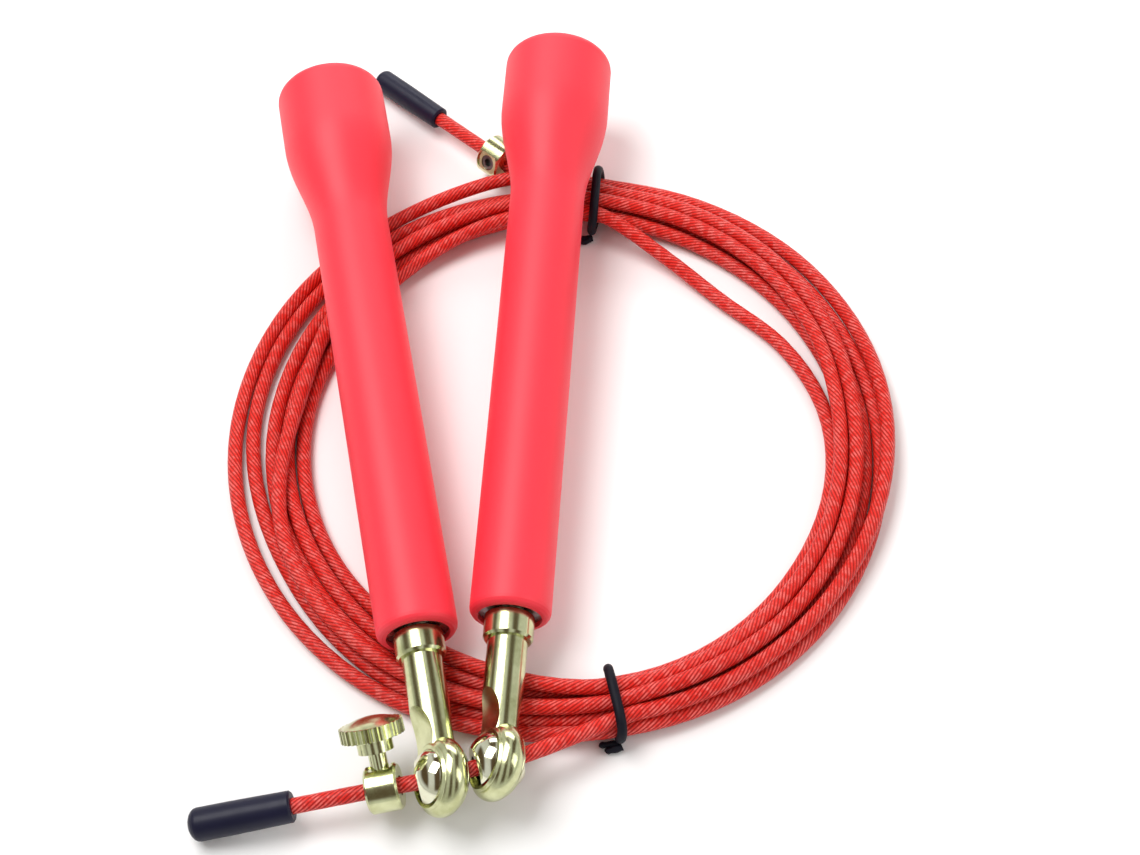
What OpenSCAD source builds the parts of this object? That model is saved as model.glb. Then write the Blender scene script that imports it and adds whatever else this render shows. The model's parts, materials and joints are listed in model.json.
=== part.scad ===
// Speed rope with two ball-bearing handles, coiled and tied, lying on a table.
// Millimetres, +Z up. The origin is on the table under the middle of the coil's near arc;
// +Y runs across the coil towards the handles' wide ends, +X to the right.

/* [Cable] */
// Outside diameter of the coated wire cable
cable_d = 3.5; // [3:0.1:3.6]
// Radius from the coil's centre to the inside of its band
coil_inner_r = 62; // [61:0.5:64]
// Radius from the coil's centre to the outside of its band
coil_outer_r = 78.6; // [77:0.2:79.4]
// Height of the band of turns
coil_h = 6.4; // [5:0.2:6.6]
// Thickness of the soft wire that ties the coil
tie_d = 2.2; // [1.6:0.1:2.4]

/* [Grips] */
// Length of a grip from its front face to the rim at its wide end
grip_len = 153.5; // [150:0.5:170]
// Diameter of the straight part of a grip
grip_d = 18; // [17:0.1:18.4]
// Diameter of a grip at its wide end
head_d = 26.4; // [24:0.2:26.6]
// Distance from the front face to where the grip starts to widen
neck_at = 111; // [108:1:116]
// Length over which the grip widens
flare_len = 26; // [22:1:30]

/* [Swivels] */
// Distance from the pivot ball's centre to the front face of the grip
grip_at = 33; // [32.5:0.5:35]
// Diameter of the swivel's shank
shank_d = 8.8; // [8:0.1:9.4]
// Diameter of the collar at the grip end of the shank
collar_d = 11; // [10:0.1:12]
// Diameter of the pivot ball
ball_d = 13; // [12.6:0.1:13]
// Width of the pivot ball between its two flats
ball_w = 9.6; // [9:0.1:10]
// Diameter of the cable hole through the pivot ball
ball_hole_d = 5; // [4.8:0.1:5.2]

/* [Stops and caps] */
// Diameter of a stop collar
stop_d = 10; // [9.6:0.2:11]
// Length of a stop collar along the cable
stop_len = 7; // [6.6:0.1:8]
// Diameter of the thumb screw's knurled head
screw_head_d = 13.6; // [12:0.2:14]
// Number of ribs round the thumb screw's head
screw_ribs = 32; // [24:1:36]

/* [Hidden] */
$fn = 48;
SIDES = ["left", "right"];
HANDLE_NODES = ["pivot_ball", "swivel", "spacer", "washer", "lock_nut", "grip", "end_plug",
    "front_inner_race", "front_outer_race", "front_shield", "front_balls", "front_cage",
    "rear_inner_race", "rear_outer_race", "rear_shield", "rear_balls", "rear_cage"];
ROPE_NODES = ["cable_coil", "cable_tail_a", "cable_tail_b", "end_cap_a", "end_cap_b", "tie_near",
    "tie_far", "stop_collar_a", "thumb_screw_a", "stop_collar_b", "set_screw_b"];

// Clearances: a press or screwed fit, a running fit, and free air between moving parts.
close_fit = 0.02;
running_fit = 0.05;
cut = 0.1;

cable_r = cable_d / 2;
coil_centre = [0, 71, 0];

// Where the handles lie: each pivot ball's centre, the heading from +Y towards +X, the rise from
// the table, and how far the swivel is turned about the handle's own axis.
ball_at = [[-27.8, -17.97, 11.6], [-16.1, -15.1, 11.6]];
ball_axis = [[-10.4, -1.9, -0.7], [-9.6, -2.8, 1]];
heading = [-8.4, 6];
rise = [1.8, 3];
swivel_roll = [31, 33];

// Past the left ball the cable runs straight to end cap A; past the coil, straight to end cap B.
function on_a(k) = ball_at[0] + k * [-10, -1, -1.45];
function on_b(k) = [-9, 148.5, 6.24] + k * [-10, 10, -0.8];
stop_a_at = on_a(1.2);
stop_b_at = on_b(0.4);
cap_len = 22.6;
cap_a_r = 3.6;
cap_b_r = 3;
cap_a_at = on_a(3.15);
cap_b_at = on_b(1.9);
cap_bore = 17;

// Centreline of each uncoiled stretch, from the bottom of its cap to inside the coil's band.
route_a = concat([cap_a_at + cap_bore * unit(on_a(1) - on_a(0))],
    [for (k = [4.1, 3.3, 2.5, 1.7, 0.9]) on_a(k)], [
    ball_at[0] + [0, -0.1, 0.1], [-22, -16.7, 12], ball_at[1] + [0, -0.1, 0.1], [-10.2, -13.2, 10.5],
    [-4, -10.5, 8.9], [2.5, -7.6, 7.8], [9.5, -4.4, 6.6], [17, -2.2, 5.4], [25, -0.2, 3.6]]);
route_b = concat([cap_b_at + cap_bore * unit(on_b(1) - on_b(0))],
    [for (k = [2.5, 1.9, 1.3, 0.7, 0]) on_b(k)], [
    [-4.4, 145.9, 5.9], [1.2, 143.8, 5.5], [7.5, 142.2, 4.8], [14, 141.2, 4], [20, 139.8, 3.4]]);

// Bearing, bought size: 5 bore, 14 outside, 5 wide.
race_bore_r = 2.5;
race_outer_r = 7;
race_w = 5;
ball_circle_r = 4.75;
rolling_r = 1.25;
rolling_count = 8;
front_race_at = grip_at + 1.2;
rear_race_at = front_race_at + race_w + 16;
axle_r = race_bore_r - close_fit;
axle_end = rear_race_at + race_w + 6.5;

function unit(v) = v / norm(v);
function tangent(path, i) = unit(path[min(i + 1, len(path) - 1)] - path[max(i - 1, 0)]);
// Radius of the grip at distance g from its front face: straight, then a smooth flare.
function grip_r(g) = let (t = max(0, min(1, (g - neck_at) / flare_len)))
    grip_d / 2 + (head_d - grip_d) / 2 * (1 - cos(180 * t)) / 2;

// Turns +Z onto a direction and moves to a point.
module facing(at, direction) {
    d = unit(direction);
    translate(at) rotate([0, acos(d.z), atan2(d.y, d.x)]) children();
}

// The frame of one handle: ball centre at the origin, +Z towards the wide end, X along the bore.
module on_handle(side) {
    i = side == "left" ? 0 : 1;
    translate(ball_at[i]) rotate([0, 0, -heading[i]]) rotate([rise[i] - 90, 0, 0]) children();
}

module tube_along(path, r) {
    sides = 8;
    points = [for (i = [0:len(path) - 1])
        let (t = tangent(path, i), across = unit(cross([0, 0, 1], t)), up = cross(t, across))
        for (k = [0:sides - 1])
            path[i] + r * (cos(360 * (k + 0.5) / sides) * across + sin(360 * (k + 0.5) / sides) * up)];
    last = len(points) - sides;
    walls = [for (i = [0:len(path) - 2], k = [0:sides - 1])
        let (a = i * sides + k, b = i * sides + (k + 1) % sides) [a, a + sides, b + sides, b]];
    polyhedron(points, concat(walls, [[for (k = [0:sides - 1]) k]],
        [[for (k = [0:sides - 1]) last + sides - 1 - k]]));
}

module ring(outer_r, inner_r, h) {
    difference() {
        cylinder(r = outer_r, h = h);
        translate([0, 0, -cut]) cylinder(r = inner_r, h = h + 2 * cut);
    }
}

// ---- Cable, caps, ties and stops ----

// The band of turns, drawn in to a chord beside the far tie.
module cable_coil() {
    low = 3.2;
    chord_at = 75;
    color([0.76, 0.16, 0.15]) translate(coil_centre) difference() {
        rotate_extrude($fn = 160) polygon([
            [coil_inner_r + 1, 0], [coil_inner_r, 1.2], [coil_inner_r + 0.6, low], [coil_inner_r + 5, low],
            [coil_inner_r + 7.5, coil_h - 1], [coil_inner_r + 10, coil_h], [coil_outer_r - 3, coil_h],
            [coil_outer_r, coil_h - 3], [coil_outer_r, 1.2], [coil_outer_r - 1.2, 0]]);
        translate([-coil_outer_r, chord_at, -cut]) cube([2 * coil_outer_r, coil_outer_r, coil_h + 2 * cut]);
    }
}

module cable_tail_a() { color([0.76, 0.16, 0.15]) tube_along(route_a, cable_r); }

module cable_tail_b() { color([0.76, 0.16, 0.15]) tube_along(route_b, cable_r); }

module end_cap(r) {
    wall_r = r - 0.2;
    color([0.13, 0.13, 0.19]) difference() {
        rotate_extrude() difference() {
            polygon(concat([[0, 0], [wall_r - 0.4, 0], [wall_r, 0.4], [r, cap_len * 0.6]],
                [for (a = [0:15:90]) [r * cos(a), cap_len - 0.62 * r + 0.62 * r * sin(a)]]));
            translate([-1, -1]) square([1, cap_len + 2]);
        }
        translate([0, 0, -cut]) cylinder(r = cable_r + running_fit, h = cap_bore + cut);
    }
}

// A loop of round wire standing across the band of turns, X along the band's radius.
module tie(width, height) {
    wire_r = tie_d / 2;
    bend_r = (height + tie_d) / 2;
    half = (width + tie_d) / 2 - bend_r;
    color([0.1, 0.1, 0.13]) translate([0, 0, wire_r + bend_r]) rotate([90, 0, 0]) {
        for (turned = [0, 180]) rotate([0, 0, turned]) {
            translate([half, 0, 0]) rotate([0, 0, -90])
                rotate_extrude(angle = 180, $fn = 96) translate([bend_r, 0]) circle(r = wire_r, $fn = 32);
            translate([-half, bend_r, 0]) rotate([0, 90, 0]) cylinder(r = wire_r, h = 2 * half, $fn = 32);
        }
    }
}

// The tie's two cut ends, lying beside the band along the table.
module tie_ends(reach) {
    color([0.1, 0.1, 0.13]) for (end = [[7, 14], [5.5, -6]])
        translate([reach, 0, tie_d / 2]) rotate([-90, 0, end[1]]) cylinder(r = tie_d / 2, h = end[0], $fn = 32);
}

module tie_near() {
    translate(coil_centre) rotate([0, 0, -82.5]) translate([71.7, 0, 0]) {
        tie(13.6, 6.6);
        mirror([0, 1, 0]) tie_ends(7.8);
    }
}

module tie_far() {
    translate(coil_centre) rotate([0, 0, 80.5]) translate([67, 0, 0]) {
        tie(14.2, 6.6);
        tie_ends(-8.1);
    }
}

stop_bore_r = 2.1;
flat_at = stop_d / 2 - 0.6;
screw_hole_r = 1.95;

// Collar round the cable (+Z), drilled and spot-faced for its screw along X.
module stop_collar() {
    chamfer = 0.5;
    color([0.72, 0.72, 0.56]) difference() {
        rotate_extrude() polygon([[0, -stop_len / 2], [stop_d / 2 - chamfer, -stop_len / 2],
            [stop_d / 2, chamfer - stop_len / 2], [stop_d / 2, stop_len / 2 - chamfer],
            [stop_d / 2 - chamfer, stop_len / 2], [0, stop_len / 2]]);
        translate([0, 0, -stop_len]) cylinder(r = stop_bore_r, h = 2 * stop_len);
        rotate([0, 90, 0]) cylinder(r = screw_hole_r, h = stop_d);
        translate([flat_at, 0, 0]) rotate([0, 90, 0]) cylinder(r = 3.1, h = stop_d);
    }
}

module thumb_screw() {
    shoulder_at = flat_at + 3.7;
    rim_at = shoulder_at + 3;
    rim_h = 3;
    dome_h = 1.4;
    dome_base_r = screw_head_d / 2 - 0.8;
    dome_r = (dome_base_r * dome_base_r + dome_h * dome_h) / (2 * dome_h);
    color([0.74, 0.74, 0.58]) rotate([0, 90, 0]) {
        translate([0, 0, cable_r + 0.3]) cylinder(r = screw_hole_r - running_fit, h = shoulder_at);
        translate([0, 0, shoulder_at]) cylinder(r = 3.8, h = 3);
        translate([0, 0, rim_at]) linear_extrude(rim_h) polygon([for (i = [0:4 * screw_ribs - 1])
            (screw_head_d / 2 - (i % 4 < 2 ? 0 : 0.55)) * [cos(90 * i / screw_ribs), sin(90 * i / screw_ribs)]]);
        intersection() {
            translate([0, 0, rim_at + rim_h + dome_h - dome_r]) sphere(r = dome_r);
            translate([0, 0, rim_at + rim_h - cut]) cylinder(r = dome_base_r, h = dome_h + 1);
        }
    }
}

// Headless screw, flush with the collar, with a hexagon socket.
module set_screw() {
    color([0.35, 0.35, 0.33]) rotate([0, 90, 0]) difference() {
        translate([0, 0, cable_r + 0.4]) cylinder(r = screw_hole_r - running_fit, h = flat_at - cable_r - 0.6);
        translate([0, 0, flat_at - 1.4]) cylinder(r = 1.15, h = 2, $fn = 6);
    }
}

module on_stop_a() { facing(stop_a_at, on_a(1) - on_a(0)) rotate([0, 0, 234]) children(); }

module on_stop_b() { facing(stop_b_at, on_b(1) - on_b(0)) rotate([0, 0, 115]) children(); }

// ---- Handle, in its own frame ----

// Ball with two flats and a cable hole, turned onto the cable where it passes.
module pivot_ball(side) {
    i = side == "left" ? 0 : 1;
    color([0.8, 0.8, 0.68]) facing(ball_at[i], ball_axis[i]) difference() {
        sphere(r = ball_d / 2, $fn = 96);
        for (end = [0, 1]) mirror([0, 0, end]) translate([0, 0, ball_w / 2]) cylinder(r = ball_d, h = ball_d);
        translate([0, 0, -ball_d]) cylinder(r = ball_hole_d / 2, h = 2 * ball_d);
    }
}

lip_half = 3.2;
lip_r = 7;
bulge_r = 3.1;
bulge_at = 5.3;
collar_at = grip_at - 5.5;
collar_end = grip_at + 0.4;

// Eye, shank with two milled scallops, collar and axle, turned in one piece.
module swivel(side) {
    roll = side == "left" ? swivel_roll[0] : swivel_roll[1];
    color([0.72, 0.72, 0.56]) rotate([0, 0, roll]) {
        difference() {
            translate([0, 0, 6]) cylinder(r = shank_d / 2, h = collar_at - 6 + cut);
            for (face = [0, 180]) rotate([0, 0, face]) translate([2.4 + 12.5, 0, 9]) rotate([90, 0, 0])
                translate([0, 0, -shank_d]) cylinder(r = 12.5, h = 2 * shank_d, $fn = 96);
            sphere(r = ball_d / 2 + 0.6);
        }
        rotate([0, 90, 0]) difference() {
            rotate_extrude($fn = 96) union() {
                translate([bulge_at, 0]) circle(r = bulge_r);
                polygon([[4, -lip_half], [lip_r - 0.5, -lip_half], [lip_r, 0.5 - lip_half],
                    [lip_r, lip_half - 0.5], [lip_r - 0.5, lip_half], [4, lip_half]]);
            }
            sphere(r = ball_d / 2 + running_fit, $fn = 96);
        }
        rotate_extrude() polygon([[0, collar_at], [collar_d / 2 - 0.4, collar_at], [collar_d / 2, collar_at + 0.6],
            [collar_d / 2, collar_end - 0.3], [collar_d / 2 - 0.3, collar_end], [0, collar_end]]);
        translate([0, 0, collar_end - cut]) cylinder(r = 3.6, h = front_race_at - collar_end + cut);
        translate([0, 0, front_race_at - cut]) cylinder(r = axle_r, h = axle_end - front_race_at + cut);
    }
}

module inner_race() {
    color([0.55, 0.56, 0.58]) difference() {
        ring(3.95, race_bore_r, race_w);
        translate([0, 0, race_w / 2]) rotate_extrude() translate([ball_circle_r, 0]) circle(r = rolling_r + running_fit);
    }
}

module outer_race() {
    color([0.55, 0.56, 0.58]) difference() {
        ring(race_outer_r, 5.55, race_w);
        translate([0, 0, race_w / 2]) rotate_extrude() translate([ball_circle_r, 0]) circle(r = rolling_r + running_fit);
        translate([0, 0, -cut]) cylinder(r = 5.95, h = 0.5 + cut);
    }
}

// Thin washer pressed into the mouth of the outer race.
module shield() { color([0.4, 0.4, 0.42]) translate([0, 0, 0.12]) ring(5.95 - close_fit, 4.15, 0.3); }

module rolling_balls() {
    color([0.8, 0.8, 0.82]) translate([0, 0, race_w / 2]) for (i = [0:rolling_count - 1])
        rotate([0, 0, 360 * i / rolling_count]) translate([ball_circle_r, 0, 0]) sphere(r = rolling_r, $fn = 32);
}

module cage() {
    color([0.75, 0.65, 0.4]) translate([0, 0, race_w / 2]) difference() {
        translate([0, 0, -1.55]) ring(5.1, 4.4, 3.1);
        for (i = [0:rolling_count - 1]) rotate([0, 0, 360 * i / rolling_count]) translate([3.8, 0, 0])
            rotate([0, 90, 0]) cylinder(r = rolling_r + running_fit, h = 2, $fn = 32);
    }
}

module spacer() { color([0.6, 0.6, 0.6]) ring(3.5, race_bore_r, rear_race_at - front_race_at - race_w); }

module washer() { color([0.6, 0.6, 0.6]) ring(4.2, race_bore_r, 0.8); }

module lock_nut() {
    color([0.6, 0.6, 0.55]) difference() {
        union() {
            cylinder(r = 4.6, h = 2.8, $fn = 6);
            cylinder(r = 3.8, h = 4.2);
        }
        translate([0, 0, -cut]) cylinder(r = race_bore_r, h = 4.2 + 2 * cut);
    }
}

// Hollow moulded grip: flared outside, stepped bores for the bearings, open at the wide end.
module grip() {
    front_round = 1.8;
    rim_round = 2.6;
    wall_r = 11;
    plug_depth = 8;
    outline = concat(
        [for (a = [0:22.5:90]) [grip_d / 2 - front_round + front_round * sin(a), front_round - front_round * cos(a)]],
        [for (k = [0:20]) let (g = neck_at + flare_len * k / 20) [grip_r(g), g]],
        [for (a = [0:15:90]) [head_d / 2 - rim_round + rim_round * cos(a), grip_len - rim_round + rim_round * sin(a)]]);
    bore = [[wall_r, grip_len + cut], [wall_r, grip_len - plug_depth], [wall_r - 0.6, grip_len - plug_depth],
        [wall_r - 0.6, neck_at + flare_len + 2], [7.1, neck_at - 2],
        [7.1, rear_race_at + race_w - grip_at], [race_outer_r + close_fit, rear_race_at + race_w - grip_at],
        [race_outer_r + close_fit, rear_race_at - grip_at], [6, rear_race_at - grip_at],
        [6, front_race_at + race_w - grip_at], [race_outer_r + close_fit, front_race_at + race_w - grip_at],
        [race_outer_r + close_fit, -cut]];
    color([0.96, 0.22, 0.26]) translate([0, 0, grip_at]) rotate_extrude($fn = 96) difference() {
        polygon(concat([[0, 0]], outline, [[0, grip_len]]));
        polygon(concat([[-1, grip_len + cut]], bore, [[-1, -cut]]));
    }
}

// Push-in plug that closes the wide end, slightly domed outside, with a skirt inside.
module end_plug() {
    r = 11 - close_fit;
    dome_h = 0.9;
    dome_r = (r * r + dome_h * dome_h) / (2 * dome_h);
    color([0.96, 0.22, 0.26]) translate([0, 0, grip_at + grip_len]) difference() {
        intersection() {
            translate([0, 0, -8]) cylinder(r = r, h = 8 + dome_h, $fn = 96);
            translate([0, 0, dome_h - dome_r]) sphere(r = dome_r, $fn = 96);
        }
        translate([0, 0, -8 - cut]) cylinder(r = 9.6, h = 6 + cut);
    }
}

cable_coil();
cable_tail_a();
cable_tail_b();
facing(cap_a_at, on_a(1) - on_a(0)) end_cap(cap_a_r);  // end_cap_a
facing(cap_b_at, on_b(1) - on_b(0)) end_cap(cap_b_r);  // end_cap_b
tie_near();
tie_far();
on_stop_a() stop_collar();  // stop_collar_a
on_stop_a() thumb_screw();  // thumb_screw_a
on_stop_b() stop_collar();  // stop_collar_b
on_stop_b() set_screw();  // set_screw_b
for (side = SIDES) {
    pivot_ball(side);
    on_handle(side) swivel(side);
    on_handle(side) grip();
    on_handle(side) end_plug();
    on_handle(side) translate([0, 0, front_race_at + race_w]) spacer();
    on_handle(side) translate([0, 0, rear_race_at + race_w]) washer();
    on_handle(side) translate([0, 0, rear_race_at + race_w + 0.8]) lock_nut();
    for (seat = [["front", front_race_at, 0], ["rear", rear_race_at + race_w, 180]]) {
        name = str(side, "_", seat[0]);
        on_handle(side) translate([0, 0, seat[1]]) rotate([seat[2], 0, 0]) inner_race();
        on_handle(side) translate([0, 0, seat[1]]) rotate([seat[2], 0, 0]) outer_race();
        on_handle(side) translate([0, 0, seat[1]]) rotate([seat[2], 0, 0]) shield();
        on_handle(side) translate([0, 0, seat[1]]) rotate([seat[2], 0, 0]) rolling_balls();
        on_handle(side) translate([0, 0, seat[1]]) rotate([seat[2], 0, 0]) cage();
    }
}
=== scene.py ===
"""Looks of the coiled speed rope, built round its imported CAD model. Lengths in the tables are in mm."""

import json
import math

import bpy
import numpy as np
from mathutils import Matrix, Vector


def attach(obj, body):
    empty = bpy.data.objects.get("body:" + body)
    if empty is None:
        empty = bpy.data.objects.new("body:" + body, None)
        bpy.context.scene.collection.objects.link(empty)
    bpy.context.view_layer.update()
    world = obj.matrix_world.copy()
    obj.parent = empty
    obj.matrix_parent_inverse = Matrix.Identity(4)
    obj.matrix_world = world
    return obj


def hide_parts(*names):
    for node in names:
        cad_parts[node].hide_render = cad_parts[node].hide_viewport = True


MM = 0.001

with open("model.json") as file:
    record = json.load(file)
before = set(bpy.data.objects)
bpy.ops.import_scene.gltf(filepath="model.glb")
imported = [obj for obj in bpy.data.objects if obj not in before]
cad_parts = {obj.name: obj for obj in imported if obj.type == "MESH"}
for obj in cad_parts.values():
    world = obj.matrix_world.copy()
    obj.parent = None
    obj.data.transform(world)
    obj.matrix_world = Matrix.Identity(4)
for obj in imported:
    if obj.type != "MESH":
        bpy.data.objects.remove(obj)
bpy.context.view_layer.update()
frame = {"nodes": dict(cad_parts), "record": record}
scene = bpy.context.scene
scene.view_settings.view_transform = "Standard"


def unit(v):
    v = np.asarray(v, float)
    return v / np.linalg.norm(v)


# ---- Camera ----

CAMERA_AT = (2.146, -193.87, 421.94)
CAMERA_ELEVATION = 57.55
CAMERA_ROLL = -2.427
SENSOR = 36.0
FOCAL_WIDTHS = 1.8531

camera_data = bpy.data.cameras.new("camera")
camera_data.sensor_width = SENSOR
camera_data.lens = SENSOR * FOCAL_WIDTHS
camera_data.clip_start = 0.01
camera = bpy.data.objects.new("camera", camera_data)
scene.collection.objects.link(camera)
camera.matrix_world = (
    Matrix.Translation(Vector(CAMERA_AT) * MM)
    @ Matrix.Rotation(math.radians(90 - CAMERA_ELEVATION), 4, "X")
    @ Matrix.Rotation(math.radians(CAMERA_ROLL), 4, "Z")
)
scene.camera = camera

# ---- The cable's course, in mm ----

CABLE_D = 3.5
CABLE_R = CABLE_D / 2
COIL_CENTRE = np.array([0.0, 71.0])
BALLS = np.array([[-27.8, -17.97, 11.6], [-16.1, -15.1, 11.6]])
TAIL_A = np.array([-10, -1, -1.45])
TAIL_B_AT = np.array([-9, 148.5, 6.24])
TAIL_B = np.array([-10, 10, -0.8])
CAP_LEN = 22.6
CAP_BORE = 17.0
CAP_A_AT = BALLS[0] + 3.15 * TAIL_A
CAP_B_AT = TAIL_B_AT + 1.9 * TAIL_B

TURNS = 7
NEAR_TIE, FAR_TIE = -82.5, 80.5
# Radius of each turn at each of these angles round the coil, in degrees from +X.
# Turns 1 to 6 are laid in order; turn 0 comes down over them.
STATIONS = (NEAR_TIE, -40, 5, 22, 42, 62, FAR_TIE, 98, 130, 170, 205, 240)
RADII = (
    (75.2, 75.0, 76.3, 76.6, 76.7, 75.4, 73.2, 74.6, 76.4, 76.7, 76.6, 76.9),
    (76.9, 76.5, 74.0, 73.3, 72.7, 71.6, 69.8, 71.2, 72.8, 72.9, 71.2, 73.3),
    (73.4, 72.6, 70.4, 69.7, 69.0, 68.0, 66.4, 67.6, 68.4, 67.8, 68.0, 69.8),
    (69.9, 68.8, 66.9, 65.9, 65.0, 64.1, 63.1, 64.0, 64.4, 64.2, 64.6, 66.3),
    (66.4, 64.8, 62.2, 58.9, 54.8, 56.8, 61.6, 62.6, 61.0, 60.5, 61.0, 62.8),
    (68.2, 66.9, 65.2, 66.2, 67.2, 66.8, 65.3, 66.0, 66.4, 62.4, 69.4, 71.6),
    (71.7, 70.6, 68.8, 69.8, 70.9, 70.6, 69.4, 71.2, 71.2, 71.2, 71.2, 71.2),
)
# Degrees along the coil at which the cable leaves it.
LEAVES_AT = FAR_TIE - NEAR_TIE + 360 * (TURNS - 1)
# A tie's wire, how far it lifts the turns above it, and the degrees to each side that are lifted.
TIE_R = 1.1
TIE_LIFT = 2.0
TIE_SPREAD = 17.0
# Degrees over which one turn eases into the next, and the stiffness of a cable crossing another.
JOIN_OVER = 10
CROSSING_SPREAD = 7
RING_STEP = 1.1


def smooth_through(x, y, at):
    """Cubic through the points (x, y), with slopes taken from the neighbours."""
    slope = np.gradient(y, x)
    i = np.clip(np.searchsorted(x, at, side="right") - 1, 0, len(x) - 2)
    h = x[i + 1] - x[i]
    t = (at - x[i]) / h
    a, b, sa, sb = y[i], y[i + 1], slope[i] * h, slope[i + 1] * h
    return (
        (2 * t**3 - 3 * t**2 + 1) * a
        + (t**3 - 2 * t**2 + t) * sa
        + (3 * t**2 - 2 * t**3) * b
        + (t**3 - t**2) * sb
    )


def softened(z, need, width, rounds=30):
    """Rounds a height profile like a stiff cable's, never below what it has to clear."""
    kernel = np.hanning(2 * width + 3)[1:-1]
    kernel /= kernel.sum()
    for _ in range(rounds):
        padded = np.pad(z, width, mode="edge")
        z = np.maximum(np.convolve(padded, kernel, mode="valid"), need)
    padded = np.pad(z, 2, mode="edge")
    return np.convolve(padded, np.ones(5) / 5, mode="valid")


def coil_points():
    """Angle, radius and height along the coil, one row per degree."""
    step = 360
    angle = np.arange(0, TURNS * step + 1)
    known_at = [s - NEAR_TIE + 360 * k for k in range(TURNS) for s in STATIONS]
    known_r = [r for row in RADII for r in row]
    radius = smooth_through(np.array(known_at, float), np.array(known_r), angle.astype(float))
    lift = np.zeros(step)
    for tie in (NEAR_TIE, FAR_TIE):
        away = (np.arange(step) + NEAR_TIE - tie + 180) % 360 - 180
        near = np.abs(away) < TIE_SPREAD
        lift[near] = np.maximum(lift[near], TIE_LIFT * np.cos(np.pi / 2 * away[near] / TIE_SPREAD) ** 2)
    height = np.full(len(angle), np.nan)
    ready = []
    for k in (*range(1, TURNS), 0):
        part = np.arange(k * step, min((k + 1) * step, len(angle)))
        need = CABLE_R + lift[part % step]
        for j in ready:
            other = part - (k - j) * step
            gap = np.abs(radius[part] - radius[other])
            above = height[other] + np.sqrt(np.maximum(CABLE_D**2 - gap**2, 0))
            need = np.where(gap < CABLE_D, np.maximum(need, above), need)
        z = softened(need.copy(), need, CROSSING_SPREAD)
        joins = []
        if k > 1:
            joins.append((0, height[part[0] - 1]))
        if k == 0:
            joins.append((len(part) - 1, height[step]))
        for at, wanted in joins:
            away = np.abs(np.arange(len(part)) - at)
            ease = np.clip(1 - away / JOIN_OVER, 0, 1) ** 2
            z = z + ease * (wanted - z[at])
        height[part] = z
        ready.append(k)
    height[np.isnan(height)] = CABLE_R
    return angle, radius, height


angle, radius, height = coil_points()


def height_in_tie(tie):
    """Room inside a tie's loop, from its lower wire to the top of the turns it holds."""
    at = tie - NEAR_TIE + 360 * np.arange(TURNS)
    held = (np.abs(angle[:, None] - at[None, :]) < 2).any(axis=1) & (angle < LEAVES_AT + 2)
    return height[held].max() + CABLE_R - 2 * TIE_R + 0.1


def cable_route():
    """The whole cable's centreline, cap A to cap B."""
    keep = (angle >= 3) & (angle <= LEAVES_AT - 2)
    a = np.radians(angle[keep] + NEAR_TIE)
    coil = np.stack(
        [
            COIL_CENTRE[0] + radius[keep] * np.cos(a),
            COIL_CENTRE[1] + radius[keep] * np.sin(a),
            height[keep],
        ],
        axis=1,
    )
    before = [CAP_A_AT + CAP_BORE * unit(TAIL_A)]
    before += [BALLS[0] + k * TAIL_A for k in (4.1, 3.3, 2.5, 1.7, 0.9)]
    before += [
        BALLS[0] + (0, -0.1, 0.1),
        (-22, -16.7, 12),
        BALLS[1] + (0, -0.1, 0.1),
        (-10.2, -13.2, 10.5),
        (-4, -10.5, 9.2),
        (2.5, -7.6, 8.2),
    ]
    after = [(6.5, 142.4, 7.3), (1.2, 143.8, 7.2), (-4.2, 145.9, 6.8), TAIL_B_AT]
    after += [TAIL_B_AT + k * TAIL_B for k in (0.7, 1.3, 1.9, 2.5)]
    after += [CAP_B_AT + CAP_BORE * unit(TAIL_B)]
    points = np.array([*before, *coil[::4], *after], float)
    return resampled(points, RING_STEP)


def resampled(points, step):
    """Points a step apart on a smooth curve through the given ones."""
    for _ in range(2):
        along = np.concatenate([[0], np.cumsum(np.linalg.norm(np.diff(points, axis=0), axis=1))])
        count = max(2, int(round(along[-1] / step)) + 1)
        at = np.linspace(0, along[-1], count)
        points = np.stack([smooth_through(along, points[:, i], at) for i in range(3)], axis=1)
    return points


def bar_points(path, radii, sides, up, closed):
    """Rings of points round a path, with a radius for each ring or for each point of each ring."""
    t = np.roll(path, -1, axis=0) - np.roll(path, 1, axis=0) if closed else np.gradient(path, axis=0)
    t /= np.linalg.norm(t, axis=1)[:, None]
    side = np.cross(np.broadcast_to(up, t.shape), t)
    side /= np.linalg.norm(side, axis=1)[:, None]
    over = np.cross(t, side)
    turn = 2 * np.pi * np.arange(sides) / sides
    ring = np.cos(turn)[None, :, None] * side[:, None, :] + np.sin(turn)[None, :, None] * over[:, None, :]
    radii = np.broadcast_to(np.asarray(radii).reshape(len(path), -1), (len(path), sides))
    return (path[:, None, :] + radii[:, :, None] * ring).reshape(-1, 3)


def bar_faces(rings, sides, closed):
    """Quads between neighbouring rings, with flat ends unless the bar is a closed loop."""
    faces = []
    for i in range(rings if closed else rings - 1):
        a, b = i * sides, (i + 1) % rings * sides
        faces += [(a + k, a + (k + 1) % sides, b + (k + 1) % sides, b + k) for k in range(sides)]
    if not closed:
        last = (rings - 1) * sides
        faces += [tuple(range(sides))[::-1], tuple(range(last, last + sides))]
    return faces


def add_mesh(name, vertices, faces, slot):
    """A smooth object from vertices in mm, in the material of its slot."""
    mesh = bpy.data.meshes.new(name)
    mesh.from_pydata([tuple(v) for v in np.asarray(vertices) * MM], [], faces)
    mesh.materials.append(SLOT_MATERIAL[slot])
    mesh.shade_smooth()
    obj = bpy.data.objects.new(name, mesh)
    scene.collection.objects.link(obj)
    return obj


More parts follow.
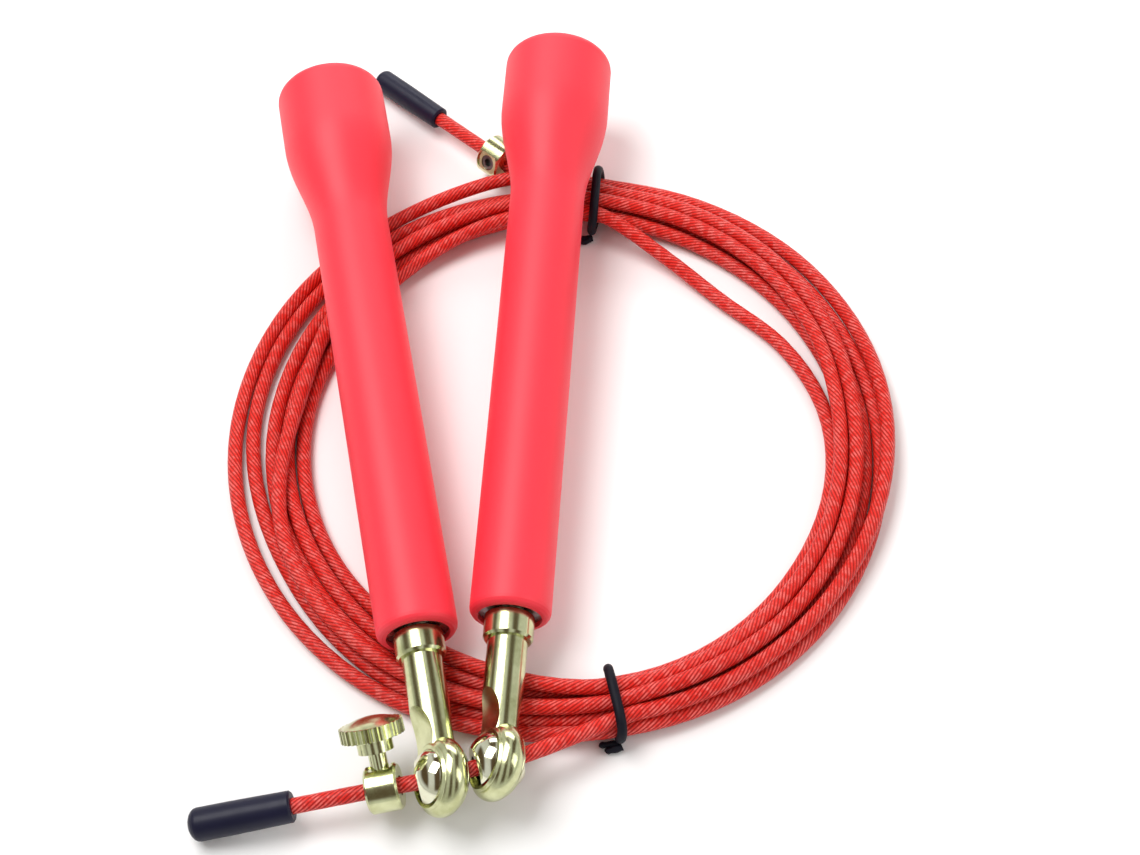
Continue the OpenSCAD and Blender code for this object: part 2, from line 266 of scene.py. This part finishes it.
def make_bar(name, path, radii, slot, sides=20, up=(0, 0, 1), closed=False):
    """Round bar along a path, in mm."""
    vertices = bar_points(path, radii, sides, up, closed)
    return add_mesh(name, vertices, bar_faces(len(path), sides, closed), slot)


# ---- Materials ----


class Nodes:
    """Short names for building a node tree."""

    def __init__(self, name):
        self.material = bpy.data.materials.new(name)
        self.material.use_nodes = True
        self.tree = self.material.node_tree
        self.shader = self.tree.nodes["Principled BSDF"]

    def add(self, kind, inputs=None, **settings):
        n = self.tree.nodes.new(kind)
        for key, value in settings.items():
            setattr(n, key, value)
        for key, value in (inputs or {}).items():
            self.put(n.inputs[key], value)
        return n

    def put(self, socket, value):
        if isinstance(value, bpy.types.NodeSocket):
            self.tree.links.new(value, socket)
        else:
            socket.default_value = value

    def set(self, **values):
        for key, value in values.items():
            self.put(self.shader.inputs[key.replace("_", " ")], value)

    def math(self, operation, a, b=0.0, c=0.0):
        n = self.tree.nodes.new("ShaderNodeMath")
        n.operation = operation
        for socket, value in zip(n.inputs, (a, b, c)):
            self.put(socket, value)
        return n.outputs[0]

    def mix(self, factor, a, b):
        n = self.add("ShaderNodeMix", data_type="RGBA")
        self.put(n.inputs["Factor"], factor)
        self.put(n.inputs["A"], a)
        self.put(n.inputs["B"], b)
        return n.outputs["Result"]

    def ramp(self, factor, stops):
        n = self.add("ShaderNodeValToRGB", {"Fac": factor})
        while len(n.color_ramp.elements) < len(stops):
            n.color_ramp.elements.new(0.5)
        for element, (at, colour) in zip(n.color_ramp.elements, stops):
            element.position = at
            element.color = colour
        return n.outputs["Color"]

    def noise(self, where, scale, detail=3.0, rough=0.5):
        inputs = {"Vector": where, "Scale": scale, "Detail": detail, "Roughness": rough}
        return self.add("ShaderNodeTexNoise", inputs).outputs["Fac"]

    def stretched(self, where, scale):
        return self.add("ShaderNodeMapping", {"Vector": where, "Scale": scale}).outputs["Vector"]

    def wave(self, cycles):
        """Cosine from 0 to 1, once for each whole cycle."""
        cosine = self.math("COSINE", self.math("MULTIPLY", cycles, 2 * math.pi))
        return self.math("MULTIPLY_ADD", cosine, 0.5, 0.5)

    def position(self):
        return self.add("ShaderNodeTexCoord").outputs["Object"]

    def bump(self, height, strength, distance):
        inputs = {"Height": height, "Strength": strength, "Distance": distance}
        return self.add("ShaderNodeBump", inputs).outputs["Normal"]


def grey(v):
    return (v, v, v, 1)


def make_grip_material():
    n = Nodes("grip")
    where = n.position()
    broad = n.noise(where, 55, 2)
    fine = n.noise(where, 2600, 4, 0.65)
    tone = n.mix(n.math("MULTIPLY", broad, 0.5), (0.90, 0.018, 0.038, 1), (0.95, 0.028, 0.056, 1))
    n.set(
        Base_Color=n.mix(n.math("MULTIPLY", fine, 0.25), tone, (0.97, 0.07, 0.11, 1)),
        Roughness=n.math("MULTIPLY_ADD", fine, 0.12, 0.46),
        Normal=n.bump(fine, 0.35, 0.00008),
    )
    n.set(Specular_IOR_Level=0.55, Subsurface_Weight=0.1, Subsurface_Scale=0.002, Sheen_Weight=0.1)
    n.set(Sheen_Roughness=0.45, Sheen_Tint=(1, 0.5, 0.55, 1), Subsurface_Radius=(1, 0.2, 0.12))
    return n.material


def make_metal_material(name, base, dark, rough=0.13, grain=900.0):
    n = Nodes(name)
    where = n.position()
    lines = n.noise(n.stretched(where, (1, 0.03, 1)), grain, 4, 0.6)
    stain = n.noise(where, 170, 4, 0.6)
    worn = n.ramp(stain, [(0.42, grey(0)), (0.72, grey(1))])
    n.set(
        Base_Color=n.mix(n.math("MULTIPLY", worn, 0.7), base, dark),
        Metallic=1.0,
        Roughness=n.math("ADD", n.math("MULTIPLY_ADD", lines, 0.1, rough), n.math("MULTIPLY", worn, 0.06)),
        Normal=n.bump(lines, 0.12, 0.00005),
    )
    return n.material


def make_plastic_material(name, base, light, rough, scale=700.0, coat=0.0, gloss=0.4):
    n = Nodes(name)
    where = n.position()
    fine = n.noise(where, scale, 4, 0.6)
    broad = n.noise(where, 120, 3)
    n.set(
        Base_Color=n.mix(broad, base, light),
        Roughness=n.math("MULTIPLY_ADD", fine, 0.2, rough),
        Normal=n.bump(fine, 0.25, 0.00008),
    )
    n.set(Coat_Weight=coat, Coat_Roughness=0.2, Specular_IOR_Level=gloss)
    return n.material


# Strands of the twisted wire round the cable, the length of one twist, and the fine wires in them.
WIRE_LOBES = 12
WIRE_PITCH = 17.0
FINE_WIRES = 48
FINE_WIRES_PER_MM = 2.1


def make_cable_material():
    """Twisted bright wire under a clear red coating, with painted glints on the wire and painted shade in the
    creases between strands. Course holds mm along the cable, then turns round it.
    """
    n = Nodes("cable")
    course = n.add("ShaderNodeAttribute", attribute_name="course").outputs["Vector"]
    split = n.add("ShaderNodeSeparateXYZ", {"Vector": course})
    along, around = split.outputs["X"], split.outputs["Y"]
    twist = n.math("MULTIPLY", along, WIRE_LOBES / WIRE_PITCH)
    lobe = n.wave(n.math("ADD", n.math("MULTIPLY", around, WIRE_LOBES), twist))
    fine_twist = n.math("MULTIPLY", along, FINE_WIRES_PER_MM)
    wire = n.wave(n.math("SUBTRACT", n.math("MULTIPLY", around, FINE_WIRES), fine_twist))
    patch = n.noise(n.stretched(course, (0.55, 4, 1)), 1.0, 3, 0.6)
    # Painted highlight: glints of the wire are laid into the colour where strands and fine wires crest, in
    # patches.
    glint = n.math("MULTIPLY", n.math("POWER", lobe, 1.5), n.math("POWER", wire, 2.0))
    glint = n.math("MULTIPLY", glint, n.ramp(patch, [(0.45, grey(0.04)), (0.62, grey(1))]))
    # Painted shade: the colour darkens towards the creases between strands.
    painted_crease_shade = n.math("POWER", n.math("SUBTRACT", 1.0, lobe), 2.0)
    slow = n.noise(n.stretched(course, (0.02, 0.6, 1)), 1.0, 2)
    body = n.mix(slow, (0.70, 0.014, 0.008, 1), (0.88, 0.032, 0.020, 1))
    body = n.mix(n.math("MULTIPLY", painted_crease_shade, 0.75), body, (0.19, 0.002, 0.001, 1))
    n.set(
        Base_Color=n.mix(n.math("MULTIPLY", glint, 0.95), body, (1.0, 0.44, 0.40, 1)),
        Roughness=n.math("MULTIPLY_ADD", patch, 0.25, 0.24),
        Normal=n.bump(n.math("ADD", lobe, n.math("MULTIPLY", wire, 0.5)), 0.55, 0.00014),
    )
    n.set(Coat_Weight=0.2, Coat_Roughness=0.1, Coat_IOR=1.35, Specular_IOR_Level=0.15)
    return n.material


SLOT_MATERIAL = {
    "grip": make_grip_material(),
    "cable": make_cable_material(),
    "metal": make_metal_material("metal", (0.66, 0.68, 0.41, 1), (0.36, 0.37, 0.16, 1)),
    "ball": make_metal_material("ball", (0.80, 0.80, 0.62, 1), (0.60, 0.56, 0.36, 1), 0.03),
    "bearing_steel": make_metal_material("bearing_steel", (0.42, 0.43, 0.44, 1), (0.25, 0.26, 0.28, 1), 0.22),
    "dark_steel": make_metal_material("dark_steel", (0.20, 0.20, 0.19, 1), (0.08, 0.08, 0.08, 1), 0.3),
    "cage": make_metal_material("cage", (0.70, 0.52, 0.25, 1), (0.4, 0.28, 0.12, 1), 0.3),
    "cap": make_plastic_material(
        "cap", (0.003, 0.003, 0.016, 1), (0.007, 0.007, 0.030, 1), 0.36, 500, 0.05, 0.25
    ),
    "tie": make_plastic_material(
        "tie", (0.002, 0.002, 0.006, 1), (0.005, 0.005, 0.013, 1), 0.5, 900, 0.0, 0.2
    ),
}
CREASE_ANGLE = 32
for part in frame["record"]["subparts"]:
    shown = frame["nodes"][part["node"]]
    shown.data.materials.clear()
    shown.data.materials.append(SLOT_MATERIAL[part["material_slot"]])
    shown.data.shade_smooth()
    shown.data.set_sharp_from_angle(angle=math.radians(CREASE_ANGLE))

# ---- Cable ----

LOBE_DEPTH = 0.08
CABLE_SIDES = 36


def make_cable():
    path = cable_route()
    along = np.concatenate([[0], np.cumsum(np.linalg.norm(np.diff(path, axis=0), axis=1))])
    turn = np.arange(CABLE_SIDES) / CABLE_SIDES
    lay = WIRE_LOBES * (turn[None, :] + along[:, None] / WIRE_PITCH)
    radii = CABLE_R - LOBE_DEPTH * (0.5 - 0.5 * np.cos(2 * np.pi * lay))
    obj = make_bar("cable", path, radii, "cable", CABLE_SIDES)
    course = np.zeros((len(path), CABLE_SIDES, 3), np.float32)
    course[:, :, 0] = along[:, None]
    course[:, :, 1] = turn[None, :]
    attribute = obj.data.attributes.new("course", "FLOAT_VECTOR", "POINT")
    attribute.data.foreach_set("vector", course.ravel())
    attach(obj, "rope")
    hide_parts("cable_coil", "cable_tail_a", "cable_tail_b")
    return obj, path


cable, cable_path = make_cable()

# ---- Ties ----


# How much the soft wire strays from a true loop: along the band, up and down, and how square it bends.
TIE_STRAY = 0.25
TIE_RIPPLE = 0.16
TIE_SQUARENESS = 1.6


def tie_loop(bend, half):
    """Points round a stadium that stands on the table: bend is its end radius, half its half straight."""
    loop = []
    for a in np.linspace(0, 2 * np.pi, 96, endpoint=False):
        straight = math.copysign(min(1, abs(math.cos(a)) * TIE_SQUARENESS), math.cos(a))
        x = bend * math.cos(a) + half * straight
        z = bend * math.sin(a) + TIE_RIPPLE * math.sin(7 * a) * math.sin(a)
        loop.append((x, TIE_STRAY * math.sin(2 * a), max(z + TIE_R + bend, TIE_R)))
    return np.array(loop)


def across_band(points, tie, out_at):
    """Places points given along the coil's radius, along its turns and up."""
    c, s = math.cos(math.radians(tie)), math.sin(math.radians(tie))
    x = points[:, 0] + out_at
    y = points[:, 1]
    return np.stack([COIL_CENTRE[0] + x * c - y * s, COIL_CENTRE[1] + x * s + y * c, points[:, 2]], axis=1)


def make_tie(node, tie, out_at, width, stubs):
    """A loop of soft wire across the band, with its two cut ends."""
    bend = height_in_tie(tie) / 2 + TIE_R
    loop = across_band(tie_loop(bend, width / 2 + TIE_R - bend), tie, out_at)
    along_turns = (-math.sin(math.radians(tie)), math.cos(math.radians(tie)), 0.01)
    radii = np.full(len(loop), TIE_R)
    obj = make_bar(node + "_loop", loop, radii, "tie", up=along_turns, closed=True)
    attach(obj, "rope")
    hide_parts(node)
    made = [obj]
    for i, (start, end) in enumerate(stubs):
        t = np.linspace(0, 1, 15)
        path = np.outer(1 - t, start) + np.outer(t, end)
        path[:, 1] += 0.5 * np.sin(6 * t + i)
        radii = 0.8 * TIE_R * (1 - 0.45 * t**2 + 0.1 * np.cos(16 * t + i))
        stub = make_bar(f"{node}_end_{i}", across_band(path, tie, out_at), radii, "tie")
        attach(stub, "rope")
        made.append(stub)
    return made


NEAR_ENDS = [((7.6, -0.6, 1.3), (6.9, -4.6, 1.0)), ((8.3, -0.4, 1.3), (8.9, -4.0, 1.0))]
FAR_ENDS = [((-8.0, 0.4, 1.3), (-8.9, 4.6, 1.0)), ((-7.8, -0.4, 1.4), (-9.6, 3.2, 1.1))]
tie_pieces = make_tie("tie_near", NEAR_TIE, 71.7, 13.6, NEAR_ENDS)
tie_pieces += make_tie("tie_far", FAR_TIE, 67.0, 14.2, FAR_ENDS)

# ---- Floor and light ----

FLOOR = 3.0


def make_floor():
    mesh = bpy.data.meshes.new("floor")
    corners = [(-FLOOR, -FLOOR, 0), (FLOOR, -FLOOR, 0), (FLOOR, FLOOR, 0), (-FLOOR, FLOOR, 0)]
    mesh.from_pydata(corners, [], [(0, 1, 2, 3)])
    obj = bpy.data.objects.new("floor", mesh)
    scene.collection.objects.link(obj)
    n = Nodes("floor")
    tone = n.mix(n.noise(n.position(), 4, 2), grey(0.90), grey(0.93))
    n.set(Base_Color=tone, Roughness=0.75, Specular_IOR_Level=0.2)
    mesh.materials.append(n.material)


make_floor()

# Light and dark bands across the room's ceiling, and the heights between which they fade in.
BANDS_ACROSS = 9.0
BAND_EDGES = (-0.35, 0.45)
BANDS_FADE_IN = (0.15, 0.35)
ROOM_DARK = (0.12, 0.08, 0.045, 1)
ROOM_LIGHT = (0.80, 0.81, 0.80, 1)
ROOM_STRENGTH = 0.85


def make_room():
    """A pale room with darker bands overhead, so that polished metal shows light and dark streaks."""
    world = bpy.data.worlds.new("world")
    scene.world = world
    world.use_nodes = True
    tree = world.node_tree

    def linked(kind, source, socket=0, **settings):
        node = tree.nodes.new(kind)
        for key, value in settings.items():
            setattr(node, key, value)
        tree.links.new(source, node.inputs[socket])
        return node

    where = tree.nodes.new("ShaderNodeTexCoord")
    split = linked("ShaderNodeSeparateXYZ", where.outputs["Generated"])
    across = linked("ShaderNodeMath", split.outputs["X"], operation="MULTIPLY")
    across.inputs[1].default_value = BANDS_ACROSS
    wave = linked("ShaderNodeMath", across.outputs[0], operation="SINE")
    bands = linked("ShaderNodeMapRange", wave.outputs[0])
    bands.inputs["From Min"].default_value, bands.inputs["From Max"].default_value = BAND_EDGES
    walls = linked("ShaderNodeMapRange", split.outputs["Z"])
    walls.inputs["From Min"].default_value, walls.inputs["From Max"].default_value = BANDS_FADE_IN
    walls.inputs["To Min"].default_value = 1.0
    walls.inputs["To Max"].default_value = 0.0
    light = linked("ShaderNodeMath", bands.outputs[0], operation="MAXIMUM")
    tree.links.new(walls.outputs[0], light.inputs[1])
    colour = linked("ShaderNodeMix", light.outputs[0], data_type="RGBA")
    colour.inputs["A"].default_value = ROOM_DARK
    colour.inputs["B"].default_value = ROOM_LIGHT
    background = tree.nodes["Background"]
    tree.links.new(colour.outputs["Result"], background.inputs["Color"])
    background.inputs["Strength"].default_value = ROOM_STRENGTH


make_room()


def area_light(name, at, size, power):
    data = bpy.data.lights.new(name, "AREA")
    data.shape = "RECTANGLE"
    data.size, data.size_y = size
    data.energy = power
    obj = bpy.data.objects.new(name, data)
    scene.collection.objects.link(obj)
    obj.location = at
    obj.rotation_mode = "QUATERNION"
    obj.rotation_quaternion = (Vector(MIDDLE) - Vector(at)).to_track_quat("-Z", "Y")


# Where the lights point, in metres.
MIDDLE = (0, 0.07, 0.01)
area_light("key", (-0.35, 0.25, 0.9), (0.7, 0.5), 8.0)
area_light("fill", (0.8, -0.2, 0.7), (0.5, 0.8), 3.0)
area_light("back", (0.1, 0.95, 0.45), (0.9, 0.3), 3.5)
